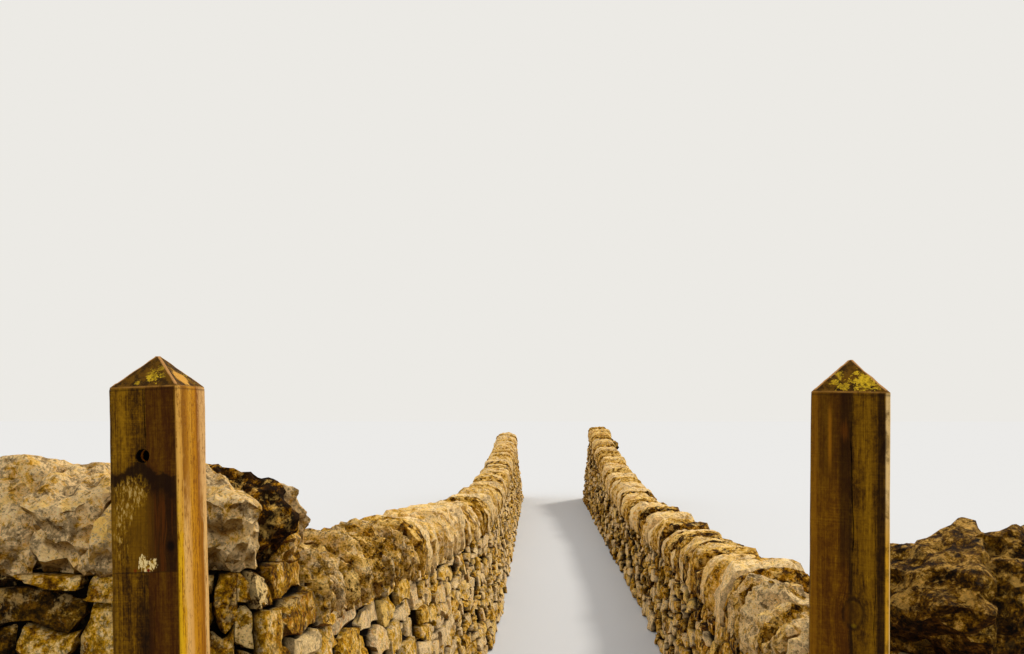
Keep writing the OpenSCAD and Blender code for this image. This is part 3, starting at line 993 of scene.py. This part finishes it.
def cutBlade(face, place, low, high, wide, deep, seed):
    # a long wedge that opens a drying check in one face
    half = postWood["width"] / 2
    upright = lambda a, b: abs(a.z - b.z) > 0.01
    bpy.ops.mesh.primitive_cube_add(size=1)
    blade = bpy.context.object
    blade.scale = (wide, deep * 2, high - low)
    blade.location = (place, -half, (low + high) / 2)
    freeze(location=True, scale=True)
    selectEdges(blade, upright)
    bpy.ops.mesh.subdivide(number_cuts=1)
    done()
    for tip in (low, high):
        selectPoints(blade, lambda p: abs(p.z - tip) < tiny)
        bpy.ops.transform.resize(value=(0.12, 0.15, 1), center_override=(place, -half, tip))
        done()
    selectPoints(blade, lambda p: p.y > -half + tiny)
    bpy.ops.transform.resize(value=(0.3, 1, 1), center_override=(place, -half, 0))
    done()
    selectEdges(blade, upright)
    bpy.ops.mesh.subdivide(number_cuts=max(4, int((high - low) / 0.05)))
    done()
    displaceBy(blade, "CLOUDS", 0.09, 0.020, seed, way="X")
    blade.rotation_euler = (0, 0, faceTurn[face] * math.pi / 2)
    freeze(rotation=True)
    return blade


def cutAway(piece, cutter):
    cut = piece.modifiers.new("cut", "BOOLEAN")
    cut.object = cutter
    cut.solver = "MANIFOLD"
    bpy.context.view_layer.objects.active = piece
    applyChange(cut)
    bpy.data.objects.remove(cutter)


def weigh(piece, name, wanted):
    group = piece.vertex_groups.new(name=name)
    group.add([v.index for v in piece.data.vertices if wanted(v.co)], 1.0, "REPLACE")


def squash(times):
    # from edit mode
    bpy.ops.mesh.select_all(action="SELECT")
    bpy.ops.transform.resize(value=(1, 1, times), center_override=(0, 0, 0))
    done()


def hewPost(side, checks, seed):
    look = postWood
    stand, length = readPost(side)
    half = look["width"] / 2
    eave = length - look["point"]
    bpy.ops.mesh.primitive_cube_add(size=1)
    post = bpy.context.object
    post.name = f"{side}_gatepost"
    post.scale = (look["width"], look["width"], eave + look["buried"])
    post.location = (0, 0, (eave - look["buried"]) / 2)
    freeze(location=True, scale=True)
    selectPoints(post, lambda p: p.z > eave - tiny)
    bpy.ops.mesh.extrude_region_move(TRANSFORM_OT_translate={"value": (0, 0, look["point"])})
    bpy.ops.transform.resize(value=(look["apex"] / look["width"], look["apex"] / look["width"], 1),
                             center_override=(0, 0, length))
    done()
    selectEdges(post, lambda a, b: abs(a.z - b.z) > 0.5)
    bpy.ops.mesh.bevel(offset=look["chamfer"], segments=2, profile=0.6)
    done()
    selectEdges(post, lambda a, b: abs(a.z - b.z) > look["point"] * 0.8 and a.z + b.z > 2 * eave + 0.01)
    bpy.ops.mesh.bevel(offset=look["hip"], segments=1)
    done()
    edit()
    for row in np.arange(0.01, length, look["rows"]):
        slicePiece((0, 0, row), (0, 0, 1))
    for place in np.arange(-half + 0.013, half - 0.012, look["columns"]):
        for way in ((1, 0, 0), (0, 1, 0)):
            slicePiece(Vector(way) * place, way)
    level = stand.to_3x3().inverted() @ Vector((0, 0, 1))
    slicePiece((0, 0, 0), level, use_fill=True, clear_inner=True)
    # the wear is drawn out along the post
    squash(look["stretch"])
    low = 0.04 * look["stretch"]
    high = (eave - 0.002) * look["stretch"]
    weigh(post, "faces", lambda p: low < p.z < high)
    weigh(post, "arrises", lambda p: low < p.z < high + 0.005 * look["stretch"]
          and min(abs(p.x), abs(p.y)) > half - look["chamfer"] - 0.001)
    levels = [vertex.co.z for vertex in post.data.vertices]
    displaceBy(post, "CLOUDS", look["rippleSize"], look["ripple"], seed, 1.0, "faces")
    displaceBy(post, "CLOUDS", look["wearSize"], look["wear"], seed + 1, 0.85, "arrises")
    for vertex, level in zip(post.data.vertices, levels):
        vertex.co.z = level
    edit()
    squash(1 / look["stretch"])
    weigh(post, "tip", lambda p: p.z > eave - 0.004)
    displaceBy(post, "CLOUDS", 0.014, look["tipWear"], seed + 2, 1.0, "tip")
    for count, check in enumerate(checks):
        cutAway(post, cutBlade(*check, seed + count))
    if side == "left":
        drillHole(post, stand)
    post.matrix_world = stand
    bpy.context.view_layer.objects.active = post
    post.select_set(True)
    freeze(location=True, rotation=True)
    for group in list(post.vertex_groups):
        post.vertex_groups.remove(group)
    post.data.materials.clear()
    post.data.materials.append(postFinish(side, stand, length))
    shadeFacets(post, 30)
    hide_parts(f"{side}_post")
    return remember(post)


def holeMount():
    return next(m for m in frame["record"]["mounts"] if m["name"] == "hinge_bolt_hole")


def drillHole(post, stand):
    mount = holeMount()
    radius = mount["dims"]["r_mm"] / 1000
    depth = mount["dims"]["length_mm"] / 1000
    place = stand.inverted() @ Vector(mount["pos_m"])
    bpy.ops.mesh.primitive_cylinder_add(vertices=40, radius=radius, depth=depth * 2, location=place,
                                        rotation=(math.pi / 2, 0, 0))
    drill = bpy.context.object
    freeze(location=True, rotation=True)
    cutAway(post, drill)
    # the mouth is worn wider
    bpy.ops.mesh.primitive_cone_add(vertices=40, radius1=radius + 0.004, radius2=radius - 0.001, depth=0.010,
                                    location=place + Vector((0, 0.0025, 0)), rotation=(-math.pi / 2, 0, 0))
    rim = bpy.context.object
    freeze(location=True, rotation=True)
    edit()
    bpy.ops.mesh.select_all(action="SELECT")
    bpy.ops.transform.vertex_random(offset=0.0008, uniform=1, seed=3)
    done()
    cutAway(post, rim)


postColors = {
    "front": [(0.0, 26, 12, 0), (0.30, 60, 35, 1), (0.50, 88, 57, 2), (0.70, 110, 75, 3),
              (1.0, 140, 100, 10)],
    "dark": rgb(26, 10, 1), "redBrown": rgb(62, 27, 1), "olive": rgb(106, 72, 3),
    "paleBloom": rgb(186, 156, 92), "yellowBloom": rgb(140, 102, 12), "cream": rgb(242, 204, 136),
    "gold": rgb(226, 166, 40),
    "lichen": rgb(218, 180, 36), "topWood": rgb(58, 36, 3), "hipLight": rgb(198, 146, 86),
}
# colours across the sawn side of the left post, from its front arris to the back
sideBands = {
    "low": [(0.0, 222, 172, 24), (0.07, 206, 150, 10), (0.12, 220, 174, 100), (0.30, 212, 158, 80),
            (0.40, 196, 136, 16), (0.60, 184, 122, 6), (0.67, 142, 86, 4), (0.74, 156, 98, 10),
            (0.80, 222, 178, 108), (1.0, 214, 164, 92)],
    "high": [(0.0, 222, 170, 80), (0.08, 206, 150, 60), (0.14, 136, 86, 6), (0.26, 162, 106, 8),
             (0.38, 206, 148, 40), (0.55, 184, 122, 6), (0.64, 134, 78, 4), (0.72, 210, 162, 96),
             (1.0, 216, 172, 110)],
}


def postFinish(side, stand, length):
    eave = length - postWood["point"]
    half = postWood["width"] / 2
    look = postColors
    finish, flow = newFinish(f"{side}PostWood")
    world = flow.node("TexCoord", {}, {}, 3)
    place = flow.node("Mapping", {"vector_type": "TEXTURE"},
                      {"Vector": world, "Location": stand.to_translation(), "Rotation": stand.to_euler()})
    x, y, z = (flow.node("SeparateXYZ", {}, {0: place}, n) for n in range(3))
    # the grain parts round a knot
    knotX, knotZ, knotWide = knots[side]
    knot = 1 - spot(x, z, knotX, knotZ, knotWide, knotWide * 1.55)
    bend = flow.maths("POWER", 2.718, knot * knot * -0.45)
    aside = (x - knotX) * bend * -0.72
    grown = flow.moved(place, flow.node("CombineXYZ", {}, {0: aside}))
    streak = flow.noise(flow.stretched(grown, (1, 1, 0.040)), 60.0, 6.0, 0.62, 0.2)
    band = flow.noise(flow.stretched(grown, (1, 1, 0.025)), 24.0, 3.0, 0.5)
    fibre = flow.noise(flow.stretched(grown, (1, 1, 0.030)), 420.0, 3.0, 0.6)
    patch = flow.noise(place, 26.0, 6.0, 0.68, 0.3)
    speck = flow.noise(flow.stretched(place, (1, 1, 0.6)), 170.0, 4.0, 0.7)
    saw = flow.noise(flow.stretched(place, (0.04, 0.04, 1)), 330.0, 2.0, 0.5)
    grain = {"streak": streak, "fibre": fibre, "patch": patch, "speck": speck, "place": place}
    tone = (0.47 + (streak - 0.5) * 1.5 + (band - 0.5) * 1.3 + (fibre - 0.5) * 1.1 + (patch - 0.5) * 0.8
            + (speck - 0.5) * 1.1 + (saw - 0.5) * patch.between(0.44, 0.56) * 0.7)
    flow.color = flow.node("ValToRGB", {"stops": look["front"]}, {0: tone})
    front = 1 - y.between(-half, -half + 0.009)
    if side == "left":
        leftMarks(flow, x, z, front, grain)
        hole = stand.inverted() @ Vector(holeMount()["pos_m"])
        # painted shade: the bore is black past its mouth, with a painted highlight band (glint) part way down
        # its wall
        mouth = spot(x, z, hole.x, hole.z, 0.0150, 0.0150).between(0.0, 0.06)
        glint = stripe(y, -half + 0.025, -half + 0.033, 0.004)
        bore = flow.blend(glint, (0.003, 0.001, 0.0), rgb(206, 122, 24))
        flow.paint(mouth * y.between(-half + 0.002, -half + 0.005), bore)
        across = ((y + half) * (1 / (2 * half)) + (streak - 0.5) * 0.26 + (fibre - 0.5) * 0.12
                  + (patch - 0.5) * 0.10 + (z - 1.45) * 0.05)
        low, high = (flow.node("ValToRGB", {"stops": bands}, {0: across}) for bands in sideBands.values())
        golden = flow.blend((z + (patch - 0.5) * 0.3).between(1.42, 1.60), low, high)
        thread = ((streak - 0.5) * 1.4 + (fibre - 0.5) * 2.4 + (speck - 0.5) * 1.6).between(0.02, 0.40)
        golden = flow.blend(thread * 0.85, golden, rgb(116, 64, 2))
        flow.paint(x.between(half - 0.011, half - 0.006), golden)
    else:
        rightMarks(flow, x, z, front, grain, knot)
    outer = abs(x) | abs(y)
    # the inside of a drying check is painted black, as shade
    inside = outer.between(half - 0.0052, half - 0.0085) * (1 - z.between(eave - 0.004, eave - 0.001))
    if side == "left":
        inside = inside * (1 - mouth)
    flow.paint(inside, (0.004, 0.002, 0.0))
    postTop(flow, side, x, y, z, eave, grain)
    height = streak * 0.55 + fibre * 0.5 + patch * 0.25 + saw * 0.12
    endFinish(flow, 0.78 + streak * 0.14, height, 0.0028)
    return finish


def spot(x, z, middleX, middleZ, wide, tall):
    # 1 in the middle of an upright oval and 0 at its edge
    a = (x - middleX) * (1 / wide)
    b = (z - middleZ) * (1 / tall)
    return 1 - x.maths("SQRT", a * a + b * b)


def stripe(value, low, high, soft):
    # 1 between low and high, with soft edges
    return value.between(low - soft, low + soft) * (1 - value.between(high - soft, high + soft))


def leftMarks(flow, x, z, front, grain):
    look = postColors
    wavy = x + (grain["patch"] - 0.5) * 0.014
    rough = (grain["patch"] - 0.5) * 0.050 + (grain["speck"] - 0.5) * 0.014
    seam = x + (grain["patch"] - 0.5) * 0.004
    flow.paint(front * seam.between(0.0035, 0.0060) * 0.70, look["redBrown"])
    flow.paint(front * (1 - wavy.between(-0.070, -0.060)) * 0.5, look["dark"])
    # the stain's dark crest and dark right side, with a washed middle
    line = curtainAt["end"]
    curtain = curtainAt["top"] - abs(x + 0.004) * 0.40 - x * 0.16
    under = curtain - z + rough * 1.3
    below = under.between(-0.004, 0.008) * z.between(line, line + 0.0015) * front
    crest = 1 - under.between(0.026, 0.072)
    darkSide = (wavy + (grain["streak"] - 0.5) * 0.08).between(0.000, 0.034)
    stain = below * (crest * 0.95 | darkSide * (0.45 + grain["streak"] * 0.6))
    flow.paint(stain, look["dark"])
    glow = below * darkSide * (grain["streak"] + grain["fibre"] * 0.5).between(0.76, 0.90) * (1 - crest)
    flow.paint(glow * 0.55, rgb(92, 44, 3))
    washed = below * (1 - darkSide) * under.between(0.03, 0.07) * grain["streak"].between(0.38, 0.58)
    flow.paint(washed * 0.60, look["olive"])
    # pale dabs under the crest, which trail off down the left
    dabs = flow.noise(flow.stretched(grain["place"], (1, 1, 0.32)), 250.0, 4.0, 0.66)
    bloom = (spot(x, z, -0.026, 1.543, 0.050, 0.040) | spot(x, z, -0.043, 1.508, 0.030, 0.046)
             | spot(x, z, -0.052, 1.450, 0.024, 0.078) * 0.62)
    bloom = bloom + (grain["patch"] - 0.5) * 1.0
    yellow = below * (bloom * 0.18 + dabs).between(0.54, 0.64) * bloom.between(0.0, 0.35)
    flow.paint(yellow * 0.72, look["yellowBloom"])
    pale = below * (bloom * 0.20 + dabs).between(0.64, 0.76) * bloom.between(0.15, 0.5)
    flow.paint(pale * 0.80, look["paleBloom"])
    knotX, knotZ, _ = knots["left"]
    knot = front * (spot(x, z, knotX, knotZ, 0.011, 0.015) + rough * 12.0)
    flow.paint(knot.between(0.0, 0.6) * 0.9, (0.004, 0.001, 0.0))
    # a splinter torn off above the line, round a rusty nail hole
    torn = (spot(x, z, -0.006, 1.396, 0.010, 0.019) | spot(x, z, 0.014, 1.395, 0.011, 0.012)
            | spot(x, z, 0.005, 1.386, 0.014, 0.010))
    ragged = flow.noise(flow.stretched(grain["place"], (1, 1, 0.5)), 260.0, 4.0, 0.65)
    torn = front * (torn + (ragged - 0.5) * 2.2).between(0.08, 0.30) * z.between(line - 0.0005, line + 0.0025)
    splinter = flow.blend(ragged.between(0.44, 0.56), look["yellowBloom"], rgb(228, 202, 140))
    flow.paint(torn, splinter)
    for nailX, share in ((0.0050, 1.0), (-0.0225, 0.5)):
        nail = front * (spot(x, z, nailX, 1.3825, 0.0042, 0.0046) + rough * 8.0).between(0.0, 0.5)
        flow.paint(nail * share, rgb(110, 10, 2))
    edge = front * stripe(z, line - 0.0015, line + 0.0010, 0.0010)
    flow.paint(edge * 0.55, look["dark"])
    core = front * stripe(wavy, -0.013, 0.013, 0.006) * (1 - z.between(1.30, 1.36))
    flow.paint(core * 0.5, look["dark"])


def rightMarks(flow, x, z, front, grain, knot):
    look = postColors
    half = postWood["width"] / 2
    wavy = x + (grain["patch"] - 0.5) * 0.010 + (grain["streak"] - 0.5) * 0.014
    flow.paint(front * (1 - wavy.between(-0.004, 0.004)) * 0.40, rgb(98, 52, 1))
    flow.paint(front * stripe(wavy, -0.058, -0.002, 0.004) * z.between(1.50, 1.62) * 0.55, rgb(46, 22, 1))
    patches = grain["patch"].between(0.40, 0.60)
    flow.paint(front * stripe(wavy, 0.006, 0.050, 0.006) * patches * 0.6, look["olive"])
    core = (stripe(wavy, -0.017, 0.000, 0.004) * z.between(1.36, 1.44)
            + stripe(wavy, -0.001, 0.006, 0.003) * 0.9)
    flow.paint(front * flow.maths("MINIMUM", core, 1.0) * 0.72, look["dark"])
    flow.paint(front * stripe(wavy, 0.051, 0.066, 0.003) * 0.82, look["dark"])
    ember = front * (spot(x, z, -0.010, 1.665, 0.011, 0.030) + (grain["fibre"] - 0.5) * 2.0)
    flow.paint(ember.between(0.1, 0.8) * 0.35, rgb(118, 64, 4))
    thread = front * stripe(x + (grain["patch"] - 0.5) * 0.006, -0.040, -0.034, 0.0025)
    thread = thread * stripe(z, 1.60, 1.71, 0.03)
    flow.paint(thread * 0.6, rgb(156, 100, 10))
    # the two arrises: the left one worn paler, the right one, its chamfer and the right side with a painted
    # highlight
    nearSide = front * (1 - x.between(-0.064, -0.058))
    flow.paint(nearSide * 0.55, rgb(124, 78, 8))
    lit = front * x.between(0.064, 0.068) | x.between(half - 0.004, half - 0.001)
    lit = lit * (0.35 + grain["patch"].between(0.40, 0.56) * 0.65) * (0.55 + z.between(0.9, 1.45) * 0.45)
    arrisHighlight = flow.blend(z.between(1.42, 1.56), look["gold"], look["cream"])
    flow.paint(lit, arrisHighlight)
    # a painted highlight: a cream line down the right chamfer and over the right side
    flow.paint(x.between(0.0715, 0.0735) * (0.4 + grain["speck"] * 0.7), look["cream"])
    # the knot's dark broken rim and the grain that arches over it
    rough = (grain["streak"] - 0.5) * 2.4 + (grain["speck"] - 0.5) * 1.4
    rim = front * stripe(knot + rough * 0.35, 0.80, 1.10, 0.16) * grain["fibre"].between(0.36, 0.52)
    flow.paint(rim * 0.78, look["dark"])
    heart = front * (1 - (knot + rough * 0.3).between(0.45, 0.85))
    flow.paint(heart * 0.55, rgb(60, 34, 1))
    arches = flow.maths("SINE", knot * 15.0 + rough * 6.0).between(0.2, 1.0) * (1 - knot.between(1.2, 2.4))
    arches = arches * (z - knots["right"][1]).between(-0.01, 0.02) * knot.between(1.0, 1.15)
    flow.paint(front * arches * 0.40, look["dark"])
    dot = front * (spot(x, z, 0.0095, 1.285, 0.009, 0.007) + rough * 0.8).between(0.1, 0.9)
    flow.paint(dot * 0.4, rgb(140, 112, 10))


def postTop(flow, side, x, y, z, eave, grain):
    # the weathered top: end grain under lichen, its hips with a painted highlight
    look = postColors
    top = z.between(eave - 0.002, eave + 0.003)
    wood = flow.blend(grain["streak"].between(0.4, 0.6), look["topWood"], rgb(104, 70, 8))
    wood = flow.blend(grain["patch"].between(0.52, 0.62) * 0.8, wood, look["dark"])
    slopes = abs(x) - abs(y)
    hip = 1 - abs(slopes).between(0.0025, 0.0060)
    hip = hip * (z - eave).between(0.001, 0.006) * (0.5 + grain["patch"] * 0.8)
    spots = [(0.014, 0.020, 0.016, 0.9), (0.004, 0.031, 0.010, 0.5), (0.021, 0.040, 0.009, 0.5),
             (-0.016, 0.010, 0.008, 0.6), (0.030, 0.024, 0.008, 0.4)]
    if side == "right":
        spots = [(0.028, 0.022, 0.030, 1.0), (-0.030, 0.020, 0.012, 0.8), (-0.020, 0.034, 0.012, 0.7),
                 (-0.012, 0.010, 0.014, 0.8), (0.050, 0.012, 0.008, 0.6)]
    front = 1 - slopes.between(-0.001, 0.001)
    front = front * (1 - y.between(-0.001, 0.001))
    crust = flow.noise(grain["place"], 110.0, 6.0, 0.70, 0.4)
    growth = crust.between(0.52, 0.58) * grain["patch"].between(0.46, 0.58) * (1 - front) * 0.7
    for middleX, up, wide, share in spots:
        one = spot(x, z, middleX, eave + up, wide, wide * 0.85) + (crust - 0.5) * 5.0
        growth = growth | front * one.between(0.20, 0.42) * share
    growth = growth * (0.25 + grain["speck"].between(0.36, 0.60) * 0.75)
    wood = flow.blend(growth, wood, look["lichen"])
    wood = flow.blend(hip, wood, look["hipLight"])
    if side == "left":
        # the slope over the sawn side has one bright rubbed place
        rubbed = spot(y, z, -0.012, eave + 0.020, 0.034, 0.024) + (grain["patch"] - 0.5) * 2.0
        bright = (slopes - 0.006).between(0.0, 0.004) * x.between(0.0, 0.001) * rubbed.between(0.1, 0.5)
        wood = flow.blend(bright * (0.4 + grain["speck"] * 0.8), wood, rgb(224, 166, 70))
    flow.paint(top, wood)
    # the eave is rubbed pale over a dark drip line
    rubbed = stripe(z, eave - 0.0015, eave + 0.0015, 0.0015)
    rubbed = rubbed * (0.35 + grain["patch"].between(0.40, 0.60) * 0.5)
    flow.paint(rubbed, rgb(160, 114, 50))
    drip = stripe(z, eave - 0.0075, eave - 0.0045, 0.0020)
    flow.paint(drip * 0.5, look["dark"])


for side, checks, seed in (("left", leftChecks, 5), ("right", rightChecks, 25)):
    hewPost(side, checks, seed)
report("posts made")


# Stage, light and camera

bpy.ops.mesh.primitive_plane_add(size=400)
floor = bpy.context.object
floor.name = "floor"
paleFloor, flow = newFinish("paleFloor")
matt = flow.node("BsdfDiffuse", {}, {0: rgb(213, 217, 223)})
flow.node("OutputMaterial", {}, {"Surface": matt})
floor.data.materials.append(paleFloor)

world = bpy.data.worlds.new("studio")
bpy.context.scene.world = world
world.use_nodes = True
world.node_tree.nodes.clear()
sky = Flow(world.node_tree)
seen = sky.node("LightPath", {}, {}, 0)
soft = sky.node("Background", {}, {0: (1.0, 0.96, 0.90), 1: 0.86})
pale = sky.node("Background", {}, {0: rgb(236, 234, 229), 1: 1.0})
both = sky.node("MixShader", {}, {0: seen, 1: soft, 2: pale})
sky.node("OutputWorld", {}, {0: both})

sun = {"strength": 1.95, "angle": 9, "high": 40, "around": 38, "color": (1.0, 0.92, 0.80)}
lamp = bpy.data.lights.new("sun", "SUN")
lamp.energy = sun["strength"]
lamp.angle = math.radians(sun["angle"])
lamp.color = sun["color"]
sunlight = bpy.data.objects.new("sun", lamp)
sunlight.rotation_euler = (math.radians(90 - sun["high"]), 0, math.radians(180 - sun["around"]))
bpy.context.scene.collection.objects.link(sunlight)

view = {"place": (-0.2815, -9.6796, 1.70), "pitch": 3.0, "turn": 1.776, "focal": 850.0, "drop": 43.0}
photoWidth = 1024
eye = bpy.data.cameras.new("camera")
eye.sensor_width = 36
eye.lens = view["focal"] / photoWidth * eye.sensor_width
eye.shift_y = view["drop"] / photoWidth
eye.clip_end = 500
camera = bpy.data.objects.new("camera", eye)
camera.location = view["place"]
camera.rotation_euler = (math.radians(90 + view["pitch"]), 0, math.radians(view["turn"]))
bpy.context.scene.collection.objects.link(camera)
bpy.context.scene.camera = camera
bpy.context.scene.view_settings.view_transform = "Standard"

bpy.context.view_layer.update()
report("scene ready")
